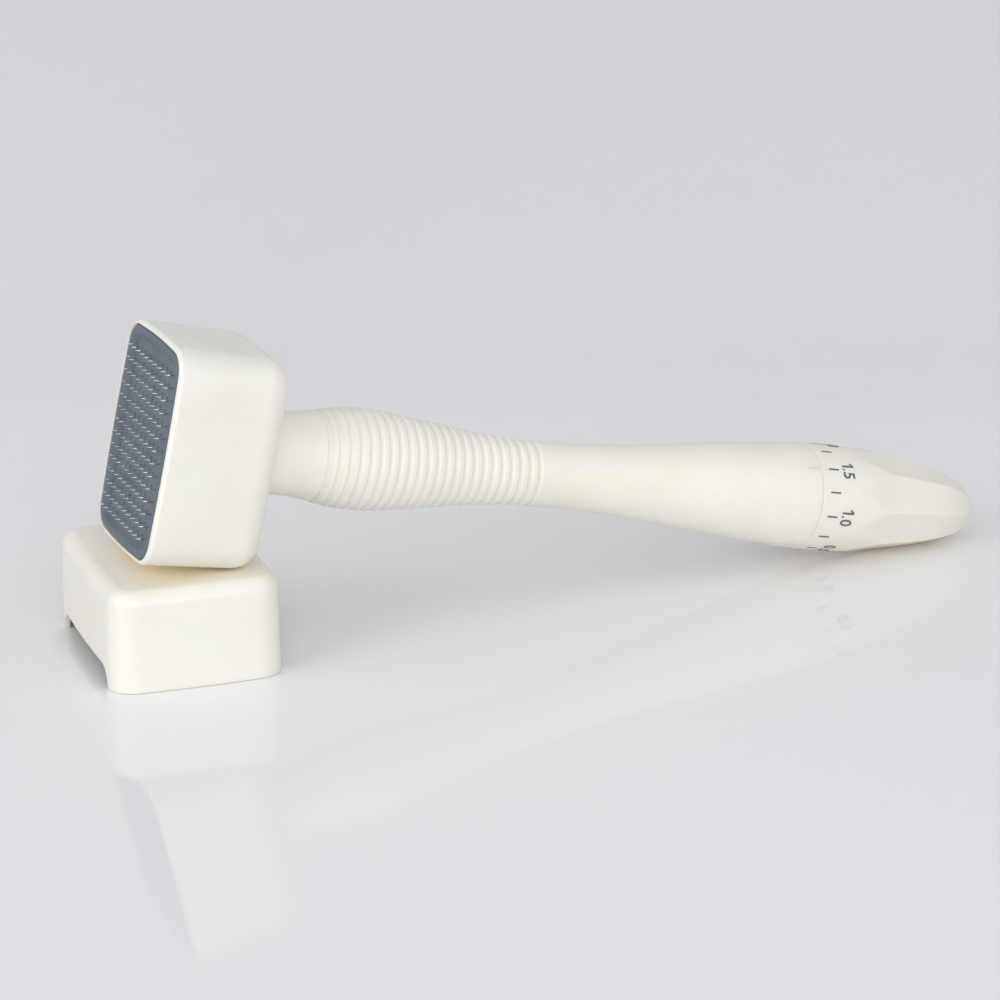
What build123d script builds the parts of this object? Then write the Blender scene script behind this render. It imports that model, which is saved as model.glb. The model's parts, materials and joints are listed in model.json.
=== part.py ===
"""Adjustable micro-needle stamp with its protective cap, one STEP file per piece.

The stamp is modelled along its own axis: x = 0 is the rim of the needle face, +x runs to the tip of the
dial, z is the long side of the head.  It is then tilted onto its cap, as it lies on a table.
Millimetres throughout.
"""
from build123d import *
import math
import os

# --- driving dimensions ------------------------------------------------------------------------------
STAMP_LENGTH = 139.3          # rim of the face to the tip of the dial
TILT = 12.01                  # degrees between the stamp's axis and the table
FIT_GAP = 0.05                # clearance of a close fit inside one body
RUNNING_GAP = 0.06            # radial clearance of a shaft in its bush

# head
HEAD_WIDTH, HEAD_HEIGHT, HEAD_DEPTH = 23.0, 31.4, 17.8
LIP_EDGE = 0.6                # rounding of the head's front edge
SIDE_BULGE = 0.5              # every side of the head, face and cap swells out by this much
HEAD_CORNER, HEAD_REAR_EDGE, HEAD_DRAFT = 4.7, 4.1, 1.6
REAR_WALL, DRAFT_START = 2.5, 4.0

# face plate
FACE_WIDTH, FACE_HEIGHT, FACE_CORNER = 21.1, 29.9, 3.3
FACE_THICKNESS, RIM_WIDTH, RIM_SLOPE, RIM_RISE = 1.6, 1.0, 0.8, 0.6
SKIRT_LENGTH, SKIRT_WALL = 2.0, 0.8

# needles
NEEDLE_ROWS, NEEDLE_COLUMNS, NEEDLE_PITCH = 14, 10, 1.85
NEEDLE_RADIUS, NEEDLE_POINT, GUIDE_HOLE_RADIUS = 0.125, 0.8, 0.19
NEEDLE_OUT = 1.2              # how far the points stand out of the rim at rest

# needle block
CARRIER_FRONT, CARRIER_THICKNESS, BACKING_THICKNESS = 5.4, 1.8, 1.4
CARRIER_WIDTH, CARRIER_HEIGHT, CARRIER_CORNER = 19.6, 28.2, 2.4
POST_RADIUS, POST_Y, POST_Z = 0.8, 5.55, 13.3
HUB_RADIUS, HUB_FLANGE, HUB_BOSS_RADIUS, HUB_BOSS = 5.6, 1.6, 2.9, 2.4
ROD_RADIUS, ROD_END = 1.6, 88.5
NUT_START, NUT_END, NUT_RADIUS = 86.0, 98.0, 3.0
KEY_WIDTH, KEY_REACH = 1.3, 4.2

# handle
NECK_RADIUS, FLARE_RADIUS = 6.2, 8.13
BORE, DRIVE_BORE, DRIVE_BORE_START = 3.2, 3.6, 100.0
SEAM = 108.2                  # where the handle ends and the dial starts
SEAM_GAP = 0.1
SPIGOT_RADIUS, SPIGOT_END = 6.0, 114.5
GRIP_GROOVES, GRIP_PITCH, GRIP_START = 23, 1.58, 26.9
GROOVE_RADIUS, GROOVE_DEPTH = 0.62, 0.24

# dial
DIAL_RADIUS, BAND_END, TIP_RADIUS = 8.18, 114.1, 1.2
DIAL_CAVITY, DIAL_FLOOR = 6.9, 115.2
FLATS, FIRST_CREASE, FLAT_DEPTH = 8, 41.5, 0.915
GRADUATIONS = 13              # from 0 to 3 mm in steps of 0.25 mm
GRADUATION_ANGLE = 26.4       # from one graduation to the next
MARK_START, MARK_LENGTH, MARK_WIDTH, INK = 109.5, 1.75, 0.25, 0.04
INDEX_ANGLE = 42.7            # from straight up towards -y: where the dial is read
SPINDLE_RADIUS, THREAD_RADIUS = 2.0, 1.9
SPINDLE_START, SPINDLE_END, SPINDLE_HEX = 91.6, 121.0, 3.4

# cap
CAP_WIDTH, CAP_LENGTH, CAP_HEIGHT = 25.2, 32.8, 14.88
CAP_FOOT_EDGE = 0.2           # rounding of the cap's outer edge on the table
CAP_CORNER, CAP_TOP_EDGE, CAP_DRAFT, CAP_WALL, CAP_ROOF = 3.9, 2.2, 1.1, 0.8, 1.2
CAP_TURN, CAP_X, CAP_Y = -3.9, 5.1, 3.3
FINGER_HEIGHT, FINGER_CORNER, FINGER_LENGTH = 3.0, 2.9, 25.6
RIB_WIDTH, RIB_RISE, RIB_SPREAD = 0.8, 0.35, 8.0

# --- places that follow from the driving dimensions ---------------------------------------------------
SPIGOT_SEAT, SPIGOT_FRONT, LOCK_START = 5.2, 14.2, 14.3
POST_REAR = HEAD_DEPTH - 1.2
BOSS_FRONT = HEAD_DEPTH - REAR_WALL - 3.0
BACKING_FRONT = CARRIER_FRONT + CARRIER_THICKNESS
HUB_FRONT = BACKING_FRONT + BACKING_THICKNESS
HUB_REAR = HUB_FRONT + HUB_FLANGE + HUB_BOSS
CARRIER_SCREW, HUB_SCREW = (1.85, 13.3), (2.9, 2.9)
BUSH_START = 104.0
CLIP_START, CLIP_END, CLIP_SEAT = 102.5, 103.4, 1.5
RING_X = 112.0
DETENT_RADIUS, DETENT_REACH, DETENT_FRONT = 0.75, 4.8, 109.6
HEX_SIZE = SPINDLE_HEX / math.sqrt(3)


# --- helpers -----------------------------------------------------------------------------------------
def across(x):
    """Plane square to the stamp's axis at x; its own x runs along +y and its y along +z."""
    return Plane.YZ.offset(x)


def pillow(width, height, corner):
    """Rounded rectangle whose four sides swell outwards."""
    w, h = width / 2, height / 2
    sides = [
        ThreePointArc((-w, -h), (0, -h - SIDE_BULGE), (w, -h)),
        ThreePointArc((w, -h), (w + SIDE_BULGE, 0), (w, h)),
        ThreePointArc((w, h), (0, h + SIDE_BULGE), (-w, h)),
        ThreePointArc((-w, h), (-w - SIDE_BULGE, 0), (-w, -h)),
    ]
    outline = make_face(sides)
    return fillet(outline.vertices(), corner)


def disc(x0, x1, radius, y=0.0, z=0.0):
    """Cylinder from x0 to x1, parallel to the stamp's axis."""
    return extrude(across(x0) * Pos(y, z) * Circle(radius), x1 - x0)


def ring(x0, x1, outer, inner, y=0.0, z=0.0):
    """Round washer or tube from x0 to x1."""
    return extrude(across(x0) * Pos(y, z) * (Circle(outer) - Circle(inner)), x1 - x0)


def block(x0, x1, y0, y1, z0, z1):
    """Box between two corners."""
    centre = Pos((x0 + x1) / 2, (y0 + y1) / 2, (z0 + z1) / 2)
    return centre * Box(x1 - x0, y1 - y0, z1 - z0)


def turned(face):
    """Revolve a half-section, drawn with x along the stamp and y outwards."""
    return revolve(face, Axis.X)


def screw(x_head, length, y, z, radius=0.5, head=0.95):
    """Small pan-head screw driven towards -x, its head's seat at x_head."""
    body = disc(x_head - length, x_head, radius, y, z) + disc(x_head, x_head + 0.7, head, y, z)
    slot = block(x_head + 0.4, x_head + 0.8, y - head, y + head, z - 0.12, z + 0.12)
    return body - slot


def both_ways(values):
    """Every sign combination of a (y, z) pair."""
    y, z = values
    return [(y, z), (-y, z), (y, -z), (-y, -z)]


def needle_places():
    """Centres of the needles on the face."""
    for row in range(NEEDLE_ROWS):
        for column in range(NEEDLE_COLUMNS):
            y = (column - (NEEDLE_COLUMNS - 1) / 2) * NEEDLE_PITCH
            z = (row - (NEEDLE_ROWS - 1) / 2) * NEEDLE_PITCH
            yield y, z


def graduation_angles():
    """Turn of every graduation from the one in the middle of the scale."""
    return [(index - (GRADUATIONS - 1) / 2) * GRADUATION_ANGLE for index in range(GRADUATIONS)]


# --- head --------------------------------------------------------------------------------------------
def head_shell():
    """Pillow-sided box, open at the face, with the handle's socket in its rear wall."""
    outer = extrude(across(0) * pillow(HEAD_WIDTH, HEAD_HEIGHT, HEAD_CORNER), HEAD_DEPTH, taper=HEAD_DRAFT)
    outer = fillet(outer.faces().sort_by(Axis.X)[-1].edges(), HEAD_REAR_EDGE)
    outer = fillet(outer.faces().sort_by(Axis.X)[0].edges(), LIP_EDGE)
    room = pillow(FACE_WIDTH + 0.2, FACE_HEIGHT + 0.2, FACE_CORNER)
    cavity = extrude(across(DRAFT_START) * room, HEAD_DEPTH - REAR_WALL - DRAFT_START, taper=HEAD_DRAFT)
    cavity = fillet(cavity.faces().sort_by(Axis.X)[-1].edges(), FACE_CORNER - 0.5)
    cavity += extrude(across(-1) * room, DRAFT_START + 1)
    shell = outer - cavity - disc(0, HEAD_DEPTH + 1, SPIGOT_SEAT + FIT_GAP)
    for y, z in both_ways((POST_Y, POST_Z)):
        boss = disc(BOSS_FRONT, HEAD_DEPTH - REAR_WALL + 0.5, POST_RADIUS + 0.6, y, z)
        shell = shell + boss - disc(BOSS_FRONT - 0.5, POST_REAR, POST_RADIUS + FIT_GAP, y, z)
    return shell


def face_plate():
    """Blue-grey guide plate with a raised rim, a short skirt and one hole for each needle."""
    outline = pillow(FACE_WIDTH, FACE_HEIGHT, FACE_CORNER)
    plate = extrude(across(0) * outline, FACE_THICKNESS)
    plate = fillet(plate.faces().sort_by(Axis.X)[0].edges(), 0.4)
    inset = RIM_WIDTH + RIM_SLOPE
    sunk = pillow(FACE_WIDTH - 2 * inset, FACE_HEIGHT - 2 * inset, FACE_CORNER - inset)
    slope = math.degrees(math.atan2(RIM_SLOPE, RIM_RISE))
    plate -= extrude(across(RIM_RISE) * sunk, -RIM_RISE - 0.1, taper=-slope)
    inner = pillow(FACE_WIDTH - 2 * SKIRT_WALL, FACE_HEIGHT - 2 * SKIRT_WALL, FACE_CORNER - SKIRT_WALL)
    skirt = extrude(across(FACE_THICKNESS) * (outline - inner), SKIRT_LENGTH)
    holes = [across(-1) * Pos(y, z) * Circle(GUIDE_HOLE_RADIUS) for y, z in needle_places()]
    return plate + skirt - extrude(Sketch(children=holes), FACE_THICKNESS + 2)


def guide_posts():
    """Four steel posts that the needle block slides on."""
    front = FACE_THICKNESS + FIT_GAP
    return [disc(front, POST_REAR - FIT_GAP, POST_RADIUS, y, z) for y, z in both_ways((POST_Y, POST_Z))]


def neck_lock_ring():
    """Ring that holds the handle's spigot inside the head."""
    lock = ring(LOCK_START, HEAD_DEPTH - REAR_WALL, 6.9, SPIGOT_SEAT + FIT_GAP)
    for angle in (0, 90, 180, 270):
        notch = Rot(angle, 0, 0) * block(LOCK_START - 1, LOCK_START + 0.4, -0.7, 0.7, 6.1, 7.5)
        lock -= notch
    return lock


# --- needle block ------------------------------------------------------------------------------------
def needle(y, z):
    """One steel needle, a straight shank with a long point."""
    tip, rear = -NEEDLE_OUT, CARRIER_FRONT + CARRIER_THICKNESS
    section = Polyline(
        (tip, 0),
        (tip + NEEDLE_POINT, NEEDLE_RADIUS),
        (rear, NEEDLE_RADIUS),
        (rear, 0),
        (tip, 0),
    )
    return Pos(0, y, z) * turned(make_face(section))


def carrier_blank(x0, thickness):
    """Plate that fits the head's cavity and slides on the guide posts."""
    blank = extrude(across(x0) * pillow(CARRIER_WIDTH, CARRIER_HEIGHT, CARRIER_CORNER), thickness)
    for y, z in both_ways((POST_Y, POST_Z)):
        blank -= disc(x0 - 1, x0 + thickness + 1, POST_RADIUS + 0.1, y, z)
    return blank


def needle_carrier():
    """Plate that the needles are set in."""
    plate = carrier_blank(CARRIER_FRONT, CARRIER_THICKNESS)
    holes = [across(0) * Pos(y, z) * Circle(NEEDLE_RADIUS + 0.02) for y, z in needle_places()]
    plate -= extrude(Sketch(children=holes), 20)
    for y, z in both_ways(CARRIER_SCREW):
        plate -= disc(0, 20, 0.5 + FIT_GAP, y, z)
    return plate


def backing_plate():
    """Plate that closes the rear of the needle holes."""
    plate = carrier_blank(BACKING_FRONT, BACKING_THICKNESS)
    for y, z in both_ways(CARRIER_SCREW):
        plate -= disc(0, 20, 0.5 + FIT_GAP, y, z)
    for y, z in both_ways(HUB_SCREW):
        plate -= disc(0, 20, 0.5 + FIT_GAP, y, z)
    return plate


def rod_hub():
    """Flanged hub that joins the push rod to the backing plate."""
    hub = disc(HUB_FRONT, HUB_FRONT + HUB_FLANGE, HUB_RADIUS)
    hub += disc(HUB_FRONT + HUB_FLANGE, HUB_REAR, HUB_BOSS_RADIUS)
    hub -= disc(HUB_FRONT + 0.6, HUB_REAR + 1, ROD_RADIUS + FIT_GAP)
    for y, z in both_ways(HUB_SCREW):
        hub -= disc(0, 20, 0.5 + FIT_GAP, y, z)
    return hub


def push_rod():
    """Steel rod from the hub to the lead nut."""
    rod = disc(HUB_FRONT + 0.7, ROD_END, ROD_RADIUS)
    return chamfer(rod.edges(), 0.3)


def lead_nut():
    """Nut on the push rod, with a key that stops it turning in the handle."""
    nut = disc(NUT_START, NUT_END, NUT_RADIUS)
    nut += block(NUT_START, NUT_END, -KEY_WIDTH / 2, KEY_WIDTH / 2, 0, KEY_REACH)
    nut -= disc(NUT_START - 1, ROD_END + 0.1, ROD_RADIUS + FIT_GAP)
    return nut - disc(ROD_END + 1.0, NUT_END + 1, THREAD_RADIUS + 0.1)


# --- handle ------------------------------------------------------------------------------------------
def handle_outline():
    """Outer curve of the handle: neck, swollen grip, waist, and the flare up to the dial."""
    return Spline(
        (HEAD_DEPTH, NECK_RADIUS),
        (24.0, NECK_RADIUS + 0.05),
        (30.0, 7.3),
        (34.8, 7.45),
        (42.6, 6.7),
        (52.3, 5.46),
        (64.3, 4.87),
        (78.5, 5.53),
        (95.0, 7.22),
        (103.5, 7.9),
        (SEAM, FLARE_RADIUS),
        tangents=[(1, 0), (1, 0.03)],
    )


def radius_at(curve, x):
    """Radius of an outer curve at x, found by bisection."""
    low, high = 0.0, 1.0
    for _ in range(40):
        middle = (low + high) / 2
        if (curve @ middle).X < x:
            low = middle
        else:
            high = middle
    return (curve @ low).Y


def handle_shell():
    """One-piece tube with the ribbed grip, the neck spigot and the spigot that carries the dial."""
    curve = handle_outline()
    rest = Polyline(
        (SEAM, FLARE_RADIUS),
        (SEAM, SPIGOT_RADIUS),
        (SPIGOT_END, SPIGOT_RADIUS),
        (SPIGOT_END, DRIVE_BORE),
        (DRIVE_BORE_START, DRIVE_BORE),
        (DRIVE_BORE_START, BORE),
        (SPIGOT_FRONT, BORE),
        (SPIGOT_FRONT, SPIGOT_SEAT),
        (HEAD_DEPTH, SPIGOT_SEAT),
        (HEAD_DEPTH, NECK_RADIUS),
    )
    section = make_face([curve, rest])
    for index in range(GRIP_GROOVES):
        x = GRIP_START + index * GRIP_PITCH
        centre = radius_at(curve, x) + GROOVE_RADIUS - GROOVE_DEPTH
        section -= Pos(x, centre) * Circle(GROOVE_RADIUS)
    section -= Pos(RING_X, SPIGOT_RADIUS) * Rectangle(1.1, 0.7)
    shell = turned(section)
    shell -= block(NUT_START - 2.5, DRIVE_BORE_START + 1, -0.75, 0.75, 0, KEY_REACH + 0.15)
    return shell - disc(DETENT_FRONT - 0.1, SPIGOT_END + 1, DETENT_RADIUS + FIT_GAP, 0, DETENT_REACH)


def rod_guide_bush():
    """Bush in the neck that keeps the push rod central."""
    return ring(20.0, 27.0, BORE - FIT_GAP, ROD_RADIUS + RUNNING_GAP)


def spindle_bush():
    """Bush in the rear spigot that the drive spindle turns in."""
    return ring(BUSH_START, SPIGOT_END - 0.2, DRIVE_BORE - FIT_GAP, SPINDLE_RADIUS + RUNNING_GAP)


def dial_seal():
    """Rubber ring that gives the dial its drag."""
    section = Pos(RING_X, SPIGOT_RADIUS + 0.12) * Circle(0.42)
    return turned(section)


def detent_ball():
    """Ball that clicks from one graduation to the next."""
    return Pos(SPIGOT_END - DETENT_RADIUS + 0.5, 0, DETENT_REACH) * Sphere(DETENT_RADIUS)


def detent_spring():
    """Small compression spring behind the detent ball."""
    wire, turns = 0.12, 6
    coil = DETENT_RADIUS - wire
    length = SPIGOT_END - 2 * DETENT_RADIUS + 0.5 - DETENT_FRONT - 2 * wire
    path = Helix(length / turns, length, coil)
    start = Plane(origin=path @ 0, z_dir=path % 0)
    spring = sweep(start * Circle(wire), path=path)
    return Pos(DETENT_FRONT + wire, 0, DETENT_REACH) * Rot(0, 90, 0) * spring


def index_mark():
    """Fine moulded line on the handle that the dial is read against."""
    core = Polyline((SEAM, FLARE_RADIUS), (SEAM, 0), (HEAD_DEPTH, 0), (HEAD_DEPTH, NECK_RADIUS))
    handle = turned(make_face([handle_outline(), core]))
    line = block(SEAM - 2.2, SEAM - 0.4, -MARK_WIDTH / 2, MARK_WIDTH / 2, 0, DIAL_RADIUS)
    line &= disc(SEAM - 3, SEAM, FLARE_RADIUS + 0.08)
    return Rot(INDEX_ANGLE, 0, 0) * (line - handle)


# --- dial --------------------------------------------------------------------------------------------
NOSE = [(123.0, 7.61), (127.0, 7.0), (131.5, 6.1), (135.7, 4.63), (138.1, 3.0), (STAMP_LENGTH, TIP_RADIUS)]
NOSE_SLOPE, TIP_SLOPE = -0.125, -2.9


def nose(depth):
    """Curve from the shoulder to the blunt tip, its radii multiplied by depth."""
    points = [(x, depth * radius) for x, radius in NOSE]
    return Spline(*points, tangents=[(1, depth * NOSE_SLOPE), (1, depth * TIP_SLOPE)])


def dial_knob():
    """Bullet-shaped dial: a round graduated band that turns into a nose with flats."""
    shoulder = Spline((BAND_END, DIAL_RADIUS), (120.0, 7.91), NOSE[0], tangents=[(1, -0.02), (1, NOSE_SLOPE)])
    back = Polyline(
        (STAMP_LENGTH, TIP_RADIUS),
        (STAMP_LENGTH, 0),
        (DIAL_FLOOR, 0),
        (DIAL_FLOOR, DIAL_CAVITY),
        (SEAM + SEAM_GAP, DIAL_CAVITY),
        (SEAM + SEAM_GAP, DIAL_RADIUS - 0.2),
        (SEAM + SEAM_GAP + 0.2, DIAL_RADIUS),
        (BAND_END, DIAL_RADIUS),
    )
    knob = turned(make_face([shoulder, nose(1), back]))
    flat_start, flat_end = (BAND_END, DIAL_RADIUS + 0.04), (NOSE[0][0], FLAT_DEPTH * NOSE[0][1])
    run_in = Spline(
        flat_start,
        (117.2, 7.97),
        (120.2, 7.43),
        flat_end,
        tangents=[(1, -0.04), (1, FLAT_DEPTH * NOSE_SLOPE)],
    )
    front, clear = SEAM - 5, DIAL_RADIUS + 1
    rest = Polyline(
        (STAMP_LENGTH, FLAT_DEPTH * TIP_RADIUS),
        (STAMP_LENGTH, 0),
        (front, 0),
        (front, clear),
        (BAND_END, clear),
        flat_start,
    )
    profile = make_face([run_in, nose(FLAT_DEPTH), rest])
    profile += mirror(profile, Plane.XZ)
    slab = extrude(profile, 12, both=True)
    step = 360 / FLATS
    for index in range(FLATS // 2):
        knob &= Rot(FIRST_CREASE + (index + 0.5) * step, 0, 0) * slab
    socket = across(DIAL_FLOOR - 1) * RegularPolygon(HEX_SIZE + FIT_GAP, 6)
    knob -= extrude(socket, SPINDLE_END + 1.3 - DIAL_FLOOR)
    for angle in graduation_angles():
        dimple = Pos(DIAL_FLOOR + 0.3, 0, DETENT_REACH) * Sphere(DETENT_RADIUS + 0.1)
        knob -= Rot(angle, 0, 0) * dimple
    return knob


def dial_scale():
    """Thirteen printed graduations round the dial's band."""
    band = ring(MARK_START, MARK_START + MARK_LENGTH, DIAL_RADIUS + INK, DIAL_RADIUS)
    mark = band & block(MARK_START, MARK_START + MARK_LENGTH, -MARK_WIDTH / 2, MARK_WIDTH / 2, 0, 9)
    return [Rot(INDEX_ANGLE + angle, 0, 0) * mark for angle in graduation_angles()]


def drive_spindle():
    """Spindle keyed into the dial by its hexagonal end; its front end carries the thread."""
    spindle = disc(SPINDLE_START, CLIP_START, THREAD_RADIUS)
    spindle += disc(CLIP_START, CLIP_END, CLIP_SEAT)
    spindle += disc(CLIP_END, DIAL_FLOOR - FIT_GAP, SPINDLE_RADIUS)
    hexagon = across(DIAL_FLOOR - FIT_GAP) * RegularPolygon(HEX_SIZE, 6)
    spindle += extrude(hexagon, SPINDLE_END - DIAL_FLOOR)
    return spindle


def retaining_clip():
    """Open spring clip in the spindle's groove."""
    clip = ring(CLIP_START + 0.05, CLIP_END - 0.05, 3.1, CLIP_SEAT + 0.02)
    return clip - block(CLIP_START, CLIP_END, -1.2, 1.2, -4, 0)


def thrust_washer():
    """Washer between the clip and the bush."""
    return ring(CLIP_END, BUSH_START - 0.08, 3.2, SPINDLE_RADIUS + 0.1)


# --- cap ---------------------------------------------------------------------------------------------
def protective_cap():
    """Drafted cap, open below, with locating ribs and a finger arch in each long wall."""
    outer = extrude(pillow(CAP_WIDTH, CAP_LENGTH, CAP_CORNER), CAP_HEIGHT, taper=CAP_DRAFT)
    outer = fillet(outer.faces().sort_by(Axis.Z)[-1].edges(), CAP_TOP_EDGE)
    outer = fillet(outer.faces().sort_by(Axis.Z)[0].edges(), CAP_FOOT_EDGE)
    width, length = CAP_WIDTH - 2 * CAP_WALL, CAP_LENGTH - 2 * CAP_WALL
    inner = extrude(pillow(width, length, CAP_CORNER - CAP_WALL), CAP_HEIGHT - CAP_ROOF, taper=CAP_DRAFT)
    inner = fillet(inner.faces().sort_by(Axis.Z)[-1].edges(), 1.2)
    cap = outer - inner
    for side in (-1, 1):
        for y in (-RIB_SPREAD, RIB_SPREAD):
            rib = Pos(side * (width / 2 + 0.15), y, FINGER_HEIGHT + 5.5) * Box(1.1 + RIB_RISE, RIB_WIDTH, 9)
            cap += rib & outer
    arch = Rectangle(FINGER_LENGTH, 2 * FINGER_HEIGHT)
    arch = fillet(arch.vertices(), FINGER_CORNER)
    return cap - extrude(Plane.YZ * arch, CAP_WIDTH, both=True)


# --- assembly ----------------------------------------------------------------------------------------
STAMP = {
    "head_shell": head_shell,
    "face_plate": face_plate,
    "guide_posts": guide_posts,
    "neck_lock_ring": neck_lock_ring,
    "needle_carrier": needle_carrier,
    "backing_plate": backing_plate,
    "rod_hub": rod_hub,
    "push_rod": push_rod,
    "lead_nut": lead_nut,
    "handle_shell": handle_shell,
    "rod_guide_bush": rod_guide_bush,
    "spindle_bush": spindle_bush,
    "dial_seal": dial_seal,
    "detent_ball": detent_ball,
    "detent_spring": detent_spring,
    "index_mark": index_mark,
    "dial_knob": dial_knob,
    "dial_scale": dial_scale,
    "drive_spindle": drive_spindle,
    "retaining_clip": retaining_clip,
    "thrust_washer": thrust_washer,
}


def needles():
    """All the needles as one group."""
    return [needle(y, z) for y, z in needle_places()]


def carrier_screws():
    """Four screws that clamp the backing plate to the carrier."""
    return [screw(HUB_FRONT, 2.6, y, z) for y, z in both_ways(CARRIER_SCREW)]


def hub_screws():
    """Four screws that hold the hub on the backing plate."""
    return [screw(HUB_FRONT + HUB_FLANGE, 2.6, y, z) for y, z in both_ways(HUB_SCREW)]


def as_compound(shape):
    """One compound from a part or a list of parts."""
    return Compound(children=list(shape)) if isinstance(shape, list) else shape


def main():
    """Build every piece, lay the stamp on its cap and write the files."""
    os.makedirs("parts", exist_ok=True)
    pieces = {name: as_compound(make()) for name, make in STAMP.items()}
    pieces["needles"] = as_compound(needles())
    pieces["carrier_screws"] = as_compound(carrier_screws())
    pieces["hub_screws"] = as_compound(hub_screws())

    tilt = Rot(0, TILT, 0)
    lift = -(tilt * pieces["dial_knob"]).bounding_box().min.Z
    placed = {name: Pos(0, 0, lift) * tilt * piece for name, piece in pieces.items()}
    placed["protective_cap"] = Pos(CAP_X, CAP_Y) * Rot(0, 0, CAP_TURN) * protective_cap()

    boxes = [piece.bounding_box() for piece in placed.values()]
    middle_x = (min(b.min.X for b in boxes) + max(b.max.X for b in boxes)) / 2
    middle_y = (min(b.min.Y for b in boxes) + max(b.max.Y for b in boxes)) / 2
    shift = Pos(-middle_x, -middle_y)
    for name, piece in placed.items():
        export_step(shift * piece, f"parts/{name}.step")
    gap = placed["protective_cap"].distance_to(placed["head_shell"])
    print(f"lift {lift:.3f}  middle {middle_x:.3f} {middle_y:.3f}  head to cap {gap:.3f}")


main()
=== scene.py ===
"""Looks of the needle stamp and its cap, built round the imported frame.  Metres throughout."""
import json
import math

import bpy
import bmesh
from mathutils import Matrix, Vector


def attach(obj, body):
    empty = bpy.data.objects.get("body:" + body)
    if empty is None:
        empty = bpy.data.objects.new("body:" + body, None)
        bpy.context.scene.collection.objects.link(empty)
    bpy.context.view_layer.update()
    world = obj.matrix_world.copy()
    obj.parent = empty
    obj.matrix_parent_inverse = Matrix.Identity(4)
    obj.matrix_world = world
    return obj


MM = 0.001

# camera: heading from +Y towards +X, elevation down, and where it stands from the stamp's origin
CAMERA_HEADING, CAMERA_ELEVATION = math.radians(23.48), math.radians(18.895)
CAMERA_PLACE = (-0.16709, -0.51363, 0.17517)
CAMERA_LENS, CAMERA_SENSOR = 143.2, 36.0

# the floor lies this far below the cap's rim, which is at z = 0
FLOOR_GAP = 0.02 * MM

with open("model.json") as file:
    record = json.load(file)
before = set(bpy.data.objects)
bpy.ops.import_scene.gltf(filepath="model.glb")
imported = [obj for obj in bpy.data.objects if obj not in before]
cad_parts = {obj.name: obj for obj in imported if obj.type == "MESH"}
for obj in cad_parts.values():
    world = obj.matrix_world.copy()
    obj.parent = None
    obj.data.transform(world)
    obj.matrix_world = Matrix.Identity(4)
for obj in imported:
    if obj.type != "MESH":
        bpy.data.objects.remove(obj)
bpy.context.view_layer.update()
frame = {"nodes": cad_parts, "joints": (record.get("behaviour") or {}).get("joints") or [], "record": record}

# --- the stamp's own frame: x along its axis from the needle face, y across, z up the head's side ------
dial_joint = next(joint for joint in frame["joints"] if joint["name"] == "dial_turn")
axis = Vector(dial_joint["axis"]).normalized()
sideways = Vector((0, 1, 0))
upward = axis.cross(sideways)
STAMP = Matrix((axis, sideways, upward)).transposed().to_4x4()
STAMP.translation = Vector(dial_joint["pos_m"])

# dial: graduations from 0 to 3.0, a label beside every second one; MARK_END is where they end
BAND_RADIUS, MARK_END = 8.18 * MM, 111.25 * MM
GRADUATION_ANGLE = math.radians(26.4)
MIDDLE_ANGLE, MIDDLE_VALUE = math.radians(42.7), 1.5
LABEL_VALUES = (0.0, 0.5, 1.0, 1.5, 2.0, 2.5, 3.0)
LABEL_STEP = 0.5
LABEL_HEIGHT, LABEL_GAP, LABEL_DROP = 2.0 * MM, 0.75 * MM, 0.05 * MM
DIGIT_WIDTH, POINT_WIDTH, ONE_WIDTH = 1.1 * MM, 0.3 * MM, 0.72 * MM
LETTER_GAP, STROKE, STROKE_GROWTH, INK = 0.28 * MM, 0.3 * MM, 0.035 * MM, 0.03 * MM
FIGURE_HEIGHT = 0.72                      # height of a figure in Blender's own font, for a size of 1


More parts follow.
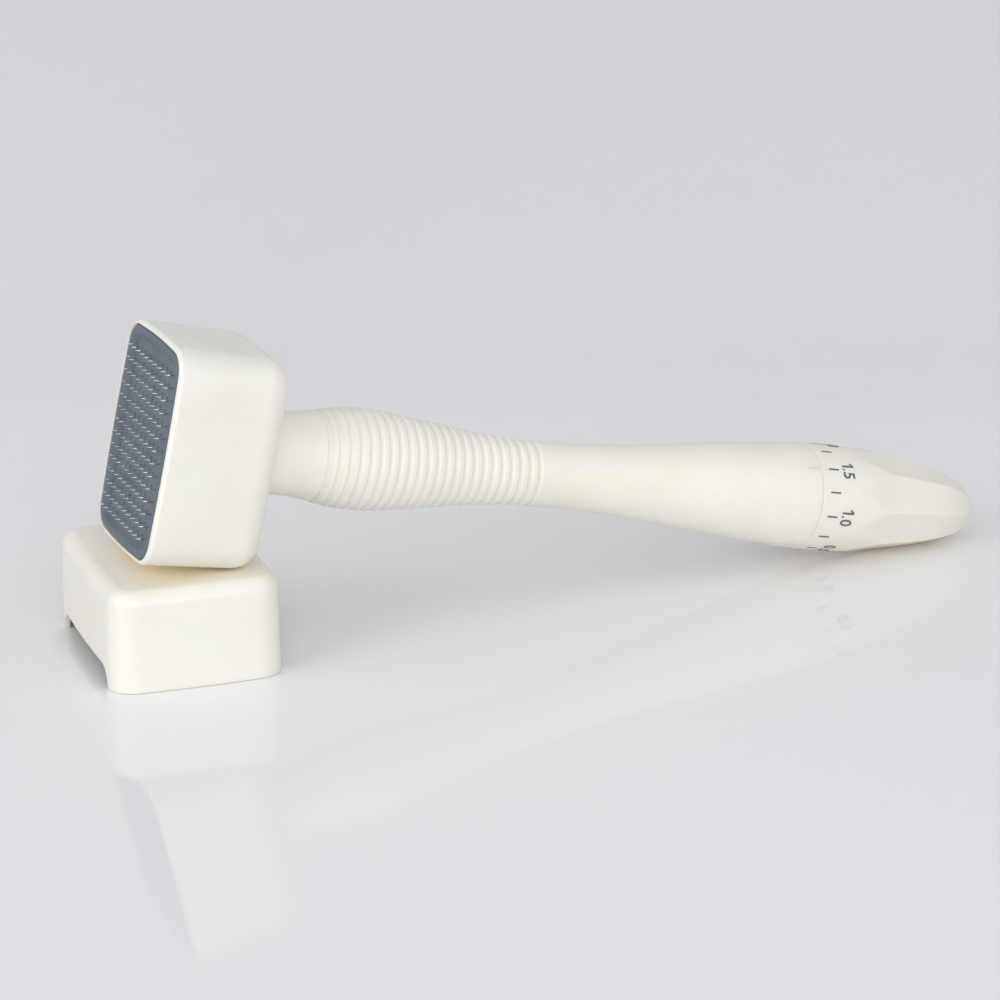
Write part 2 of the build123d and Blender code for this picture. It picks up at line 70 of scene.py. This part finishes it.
# --- materials -----------------------------------------------------------------------------------------
class Graph:
    """Short way to write a node material."""

    def __init__(self, name):
        self.material = bpy.data.materials.new(name)
        self.material.use_nodes = True
        self.tree = self.material.node_tree
        self.shader = self.tree.nodes["Principled BSDF"]
        self.place = self.node("ShaderNodeTexCoord").outputs["Object"]

    def node(self, kind, **settings):
        made = self.tree.nodes.new(kind)
        for key, value in settings.items():
            setattr(made, key, value)
        return made

    def link(self, source, target):
        self.tree.links.new(source, target)

    def noise(self, scale, detail):
        """Noise in object space, 0..1; scale is in cells per metre."""
        made = self.node("ShaderNodeTexNoise")
        made.inputs["Scale"].default_value = scale
        made.inputs["Detail"].default_value = detail
        made.inputs["Roughness"].default_value = 0.55
        self.link(self.place, made.inputs["Vector"])
        return made.outputs["Fac"]

    def spread(self, source, low, high, start=0.35, end=0.65):
        """Map a 0..1 value onto low..high."""
        made = self.node("ShaderNodeMapRange")
        made.inputs["From Min"].default_value = start
        made.inputs["From Max"].default_value = end
        made.inputs["To Min"].default_value = low
        made.inputs["To Max"].default_value = high
        self.link(source, made.inputs["Value"])
        return made.outputs["Result"]

    def times(self, first, second):
        """Product of two values."""
        made = self.node("ShaderNodeMath", operation="MULTIPLY")
        self.link(first, made.inputs[0])
        self.link(second, made.inputs[1])
        return made.outputs[0]

    def mix(self, factor, first, second):
        """Mix two colours, each a tuple or a socket."""
        made = self.node("ShaderNodeMix", data_type="RGBA")
        colour_a, colour_b, mixed = made.inputs[6], made.inputs[7], made.outputs[2]
        self.link(factor, made.inputs["Factor"])
        for socket, value in ((colour_a, first), (colour_b, second)):
            if isinstance(value, tuple):
                socket.default_value = (*value, 1)
            else:
                self.link(value, socket)
        return mixed

    def hollows(self, distance):
        """1 in the open, falling to 0 in grooves and seams."""
        made = self.node("ShaderNodeAmbientOcclusion", samples=8)
        made.inputs["Distance"].default_value = distance
        return made.outputs["AO"]

    def edges(self, radius):
        """0 on flat surfaces, rising on convex and concave edges."""
        bevel = self.node("ShaderNodeBevel", samples=4)
        bevel.inputs["Radius"].default_value = radius
        true_normal = self.node("ShaderNodeNewGeometry").outputs["Normal"]
        dot = self.node("ShaderNodeVectorMath", operation="DOT_PRODUCT")
        self.link(bevel.outputs["Normal"], dot.inputs[0])
        self.link(true_normal, dot.inputs[1])
        return self.spread(dot.outputs["Value"], 1.0, 0.0, 0.9, 1.0)

    def bump(self, *heights):
        """Chain of (height socket, strength, distance)."""
        normal = None
        for height, strength, distance in heights:
            made = self.node("ShaderNodeBump")
            made.inputs["Strength"].default_value = strength
            made.inputs["Distance"].default_value = distance
            self.link(height, made.inputs["Height"])
            if normal:
                self.link(normal, made.inputs["Normal"])
            normal = made.outputs["Normal"]
        self.link(normal, self.shader.inputs["Normal"])

    def paint(self, colour, roughness):
        """Colour and roughness of the surface, both sockets."""
        self.link(colour, self.shader.inputs["Base Color"])
        self.link(roughness, self.shader.inputs["Roughness"])

    def mottle(self, tone, first, second, smooth, rough):
        """Let colour and roughness drift together with one noise."""
        self.paint(self.mix(self.spread(tone, 0, 1), first, second), self.spread(tone, smooth, rough))

    def constant(self, **values):
        """Numbers that are the same all over, set on the shader itself."""
        names = {"metallic": "Metallic", "ior": "IOR", "subsurface": "Subsurface Weight",
                 "subsurface_scale": "Subsurface Scale", "coat": "Coat Weight",
                 "coat_roughness": "Coat Roughness"}
        for key, value in values.items():
            self.shader.inputs[names[key]].default_value = value


def ivory_plastic():
    """Satin ivory ABS: faint mould grain, slight mottling, painted shade in grooves and seams, a painted
    warm glow in tight gaps, edges lighter from wear and a painted highlight.
    """
    g = Graph("ivory_plastic")
    mottle = g.noise(70, 4)
    warm, pale = (0.815, 0.785, 0.700), (0.845, 0.820, 0.750)
    body = g.mix(g.spread(mottle, 0, 1), warm, pale)
    near = g.hollows(1.2 * MM)
    # painted shade: darker and browner in grooves and seams, where the 1.2 mm occlusion test finds them
    groove_shade_painted = g.mix(g.spread(near, 0.10, 0.0, 0.35, 0.95), body, (0.62, 0.56, 0.44))
    # painted light: a warm glow in tight gaps, such as under the head, standing in for light bounced between
    # the parts
    open_enough = g.spread(near, 0, 1, 0.12, 0.35)
    deep = g.spread(g.hollows(6 * MM), 1.0, 0.0, 0.15, 0.55)
    gap_glow_painted = g.mix(g.times(open_enough, deep), groove_shade_painted, (1.0, 0.90, 0.72))
    edge = g.edges(0.25 * MM)
    # edges lighter: edge wear, together with a painted highlight along them
    colour = g.mix(g.spread(edge, 0, 0.35, 0, 1), gap_glow_painted, (0.90, 0.88, 0.83))
    grain = g.noise(5200, 3)
    orange_peel = g.noise(420, 2)
    g.paint(colour, g.spread(grain, 0.30, 0.42))
    g.bump((orange_peel, 0.10, 0.02 * MM), (grain, 0.16, 0.006 * MM))
    g.constant(ior=1.5, subsurface=0.3, subsurface_scale=1.6 * MM, coat=0.06, coat_roughness=0.2)
    g.shader.inputs["Subsurface Radius"].default_value = (1.0, 0.80, 0.55)
    return g.material


def slate_plastic():
    """Blue-grey satin plastic of the face plate, with painted shade in its recesses and edges lighter from
    wear and a painted highlight.
    """
    g = Graph("slate_plastic")
    mottle = g.noise(160, 4)
    body = g.mix(g.spread(mottle, 0, 1), (0.088, 0.116, 0.142), (0.110, 0.140, 0.168))
    edge = g.edges(0.2 * MM)
    # edges lighter: edge wear, together with a painted highlight along them
    worn_and_highlit = g.mix(g.spread(edge, 0, 0.4, 0, 1), body, (0.16, 0.20, 0.235))
    # painted shade: darker in recesses, at the rim's step and round the needle holes
    colour = g.mix(g.spread(g.hollows(0.6 * MM), 0.45, 0.0, 0.2, 0.9), worn_and_highlit, (0.05, 0.065, 0.08))
    grain = g.noise(6400, 3)
    g.paint(colour, g.spread(grain, 0.36, 0.5))
    g.bump((g.noise(700, 2), 0.12, 0.02 * MM), (grain, 0.2, 0.006 * MM))
    g.constant(ior=1.48)
    return g.material


def needle_steel():
    """Bright drawn steel with a fine bumpy grain."""
    g = Graph("needle_steel")
    tone = g.noise(1400, 3)
    g.mottle(tone, (0.68, 0.68, 0.68), (0.80, 0.80, 0.79), 0.18, 0.30)
    g.bump((g.noise(9000, 2), 0.12, 0.004 * MM))
    g.constant(metallic=1.0)
    return g.material


def hardware_steel():
    """Machined steel of the inner hardware."""
    g = Graph("hardware_steel")
    tone = g.noise(900, 4)
    g.mottle(tone, (0.44, 0.44, 0.45), (0.60, 0.60, 0.60), 0.22, 0.38)
    g.bump((g.noise(5200, 2), 0.15, 0.006 * MM))
    g.constant(metallic=1.0)
    return g.material


def drive_brass():
    """Turned brass of the nut and bush."""
    g = Graph("drive_brass")
    tone = g.noise(600, 4)
    g.mottle(tone, (0.62, 0.42, 0.14), (0.78, 0.57, 0.24), 0.2, 0.36)
    g.bump((g.noise(4200, 2), 0.15, 0.006 * MM))
    g.constant(metallic=1.0)
    return g.material


def seal_rubber():
    """Black rubber of the dial's seal."""
    g = Graph("seal_rubber")
    tone = g.noise(900, 4)
    g.mottle(tone, (0.012, 0.012, 0.012), (0.03, 0.03, 0.03), 0.5, 0.7)
    g.bump((g.noise(3800, 3), 0.3, 0.01 * MM))
    return g.material


def bearing_plastic():
    """Natural acetal of the bushes, carrier and hub."""
    g = Graph("bearing_plastic")
    tone = g.noise(300, 4)
    g.mottle(tone, (0.62, 0.62, 0.58), (0.74, 0.74, 0.70), 0.3, 0.42)
    g.bump((g.noise(4200, 3), 0.15, 0.006 * MM))
    g.constant(subsurface=0.15, subsurface_scale=1.5 * MM)
    return g.material


def print_ink():
    """Pad-printed dark grey ink, a little uneven."""
    g = Graph("print_ink")
    tone = g.noise(3600, 4)
    g.mottle(tone, (0.10, 0.097, 0.092), (0.15, 0.146, 0.140), 0.42, 0.6)
    g.bump((g.noise(7000, 3), 0.3, 0.006 * MM))
    return g.material


MATERIALS = {
    "ivory_plastic": ivory_plastic(),
    "slate_plastic": slate_plastic(),
    "needle_steel": needle_steel(),
    "hardware_steel": hardware_steel(),
    "drive_brass": drive_brass(),
    "seal_rubber": seal_rubber(),
    "bearing_plastic": bearing_plastic(),
    "print_ink": print_ink(),
}


def dress_nodes():
    """Give every CAD node the detailed material of its slot."""
    for subpart in frame["record"]["subparts"]:
        node = frame["nodes"][subpart["node"]]
        node.data.materials.clear()
        node.data.materials.append(MATERIALS[subpart["material_slot"]])


# --- numerals on the dial --------------------------------------------------------------------------------
def wrap_on_dial(point, angle, start, radius):
    """Bend a flat (reading direction, height, thickness) point round the dial's band."""
    turn = angle + point.x / radius
    out = radius + point.z
    return STAMP @ Vector((start + point.y, -out * math.sin(turn), out * math.cos(turn)))


def figure_one():
    """Flat mesh of a '1' with a slanting flag, its left edge at x = 0, and its width."""
    stem, top = ONE_WIDTH - STROKE, LABEL_HEIGHT
    flag_top, flag_foot, flag_root = 0.80 * top, 0.64 * top, 0.78 * top
    outline = [(stem, 0), (ONE_WIDTH, 0), (ONE_WIDTH, top), (stem, top)]
    outline += [(0, flag_top), (0, flag_foot), (stem, flag_root)]
    count = len(outline)
    verts = [(x, y, z) for z in (-INK / 2, INK / 2) for x, y in outline]
    walls = [(i, (i + 1) % count, count + (i + 1) % count, count + i) for i in range(count)]
    mesh = bpy.data.meshes.new("figure_one")
    mesh.from_pydata(verts, [], walls + [tuple(reversed(range(count))), tuple(range(count, 2 * count))])
    return mesh, ONE_WIDTH


def character(letter):
    """Flat mesh of one printed character, its left edge at x = 0, and its width."""
    if letter == "1":
        return figure_one()
    text = bpy.data.curves.new("text", "FONT")
    text.body = letter
    text.extrude = INK / 2
    text.offset = STROKE_GROWTH
    text.size = LABEL_HEIGHT / FIGURE_HEIGHT
    text.resolution_u = 6
    holder = bpy.data.objects.new("text_holder", text)
    bpy.context.scene.collection.objects.link(holder)
    bpy.context.view_layer.update()
    mesh = bpy.data.meshes.new_from_object(holder.evaluated_get(bpy.context.evaluated_depsgraph_get()))
    bpy.data.objects.remove(holder)
    left = min(vertex.co.x for vertex in mesh.vertices)
    right = max(vertex.co.x for vertex in mesh.vertices)
    width = POINT_WIDTH if letter == "." else DIGIT_WIDTH
    for vertex in mesh.vertices:
        vertex.co.x = (vertex.co.x - left) / (right - left) * width
    return mesh, width


def add_numeral(joined, value, angle):
    """Print one value on the dial, centred on its graduation."""
    letters = [character(letter) for letter in f"{value:.1f}"]
    total = sum(width for _, width in letters) + LETTER_GAP * (len(letters) - 1)
    cursor = LABEL_DROP - total / 2
    for mesh, width in letters:
        for vertex in mesh.vertices:
            flat = Vector((cursor + vertex.co.x, vertex.co.y, vertex.co.z + INK))
            vertex.co = wrap_on_dial(flat, angle, MARK_END + LABEL_GAP, BAND_RADIUS)
        joined.from_mesh(mesh)
        cursor += width + LETTER_GAP


def dial_numerals():
    """The values 0.0 to 3.0 in steps of 0.5, each beside its graduation."""
    joined = bmesh.new()
    for value in LABEL_VALUES:
        angle = MIDDLE_ANGLE - (value - MIDDLE_VALUE) / LABEL_STEP * 2 * GRADUATION_ANGLE
        add_numeral(joined, value, angle)
    bmesh.ops.remove_doubles(joined, verts=joined.verts, dist=1e-7)
    mesh = bpy.data.meshes.new("dial_numerals")
    joined.to_mesh(mesh)
    mesh.materials.append(MATERIALS["print_ink"])
    piece = bpy.data.objects.new("dial_numerals", mesh)
    bpy.context.scene.collection.objects.link(piece)
    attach(piece, "dial")


# --- stage ----------------------------------------------------------------------------------------------
def stage_material():
    """Glossy pale sweep: a white floor that fades into a cooler grey backdrop, the backdrop's darker grey a
    painted shade.
    """
    g = Graph("sweep")
    position = g.node("ShaderNodeSeparateXYZ")
    g.link(g.place, position.inputs["Vector"])
    into_the_back = g.spread(position.outputs["Y"], 0, 1, 0.08, 0.34)
    tone = g.noise(3, 2)
    floor = g.mix(g.spread(tone, 0, 1), (0.82, 0.82, 0.825), (0.84, 0.84, 0.845))
    # painted shade: the back of the one sweep is coloured a darker, cooler grey than the floor
    wall = g.mix(g.spread(tone, 0, 1), (0.495, 0.49, 0.505), (0.515, 0.51, 0.525))
    g.paint(g.mix(into_the_back, floor, wall), g.spread(tone, 0.05, 0.08))
    g.constant(ior=1.65)
    return g.material


def sweep():
    """Floor that turns up into a backdrop, square to the camera's heading."""
    bend_start, bend_radius, wall_height, half_width, front, steps = 0.10, 0.25, 3.0, 3.0, -3.0, 24
    profile = [(front, 0.0), (bend_start, 0.0)]
    for step in range(1, steps + 1):
        turn = math.radians(90 * step / steps)
        profile.append((bend_start + bend_radius * math.sin(turn), bend_radius * (1 - math.cos(turn))))
    profile.append((bend_start + bend_radius, wall_height))
    verts = [(x, y, z) for x in (-half_width, half_width) for y, z in profile]
    count = len(profile)
    faces = [(i, i + 1, count + i + 1, count + i) for i in range(count - 1)]
    mesh = bpy.data.meshes.new("sweep")
    mesh.from_pydata(verts, [], faces)
    mesh.materials.append(stage_material())
    for face in mesh.polygons:
        face.use_smooth = True
    piece = bpy.data.objects.new("sweep", mesh)
    piece.rotation_euler = (0, 0, -CAMERA_HEADING)
    piece.location.z = -FLOOR_GAP
    bpy.context.scene.collection.objects.link(piece)


def area_light(name, place, size, power):
    """Soft square light pointed at the middle of the object."""
    aim = (0, 0, 0.02)
    data = bpy.data.lights.new(name, "AREA")
    data.shape = "SQUARE"
    data.size = size
    data.energy = power
    lamp = bpy.data.objects.new(name, data)
    lamp.location = place
    lamp.rotation_euler = (Vector(aim) - Vector(place)).to_track_quat("-Z", "Y").to_euler()
    bpy.context.scene.collection.objects.link(lamp)


def lights():
    """Broad softboxes in front and to the left, both low, in an even pale surround."""
    area_light("front", (-0.30, -1.20, 0.40), size=0.8, power=4.4)
    area_light("left", (-1.20, -0.35, 0.45), size=0.8, power=4.5)
    world = bpy.data.worlds.new("surround")
    world.use_nodes = True
    background = world.node_tree.nodes["Background"]
    background.inputs["Color"].default_value = (0.97, 0.98, 1.0, 1)
    background.inputs["Strength"].default_value = 0.92
    bpy.context.scene.world = world
    bpy.context.scene.view_settings.view_transform = "Standard"


def camera():
    """Long lens from the front left, looking down at the stamp."""
    look = Vector((
        math.sin(CAMERA_HEADING) * math.cos(CAMERA_ELEVATION),
        math.cos(CAMERA_HEADING) * math.cos(CAMERA_ELEVATION),
        -math.sin(CAMERA_ELEVATION),
    ))
    data = bpy.data.cameras.new("camera")
    data.lens = CAMERA_LENS
    data.sensor_width = CAMERA_SENSOR
    data.clip_start = 0.01
    data.clip_end = 20
    view = bpy.data.objects.new("camera", data)
    view.location = STAMP.translation + Vector(CAMERA_PLACE)
    view.rotation_euler = look.to_track_quat("-Z", "Y").to_euler()
    bpy.context.scene.collection.objects.link(view)
    bpy.context.scene.camera = view


camera()
lights()
sweep()
dress_nodes()
dial_numerals()
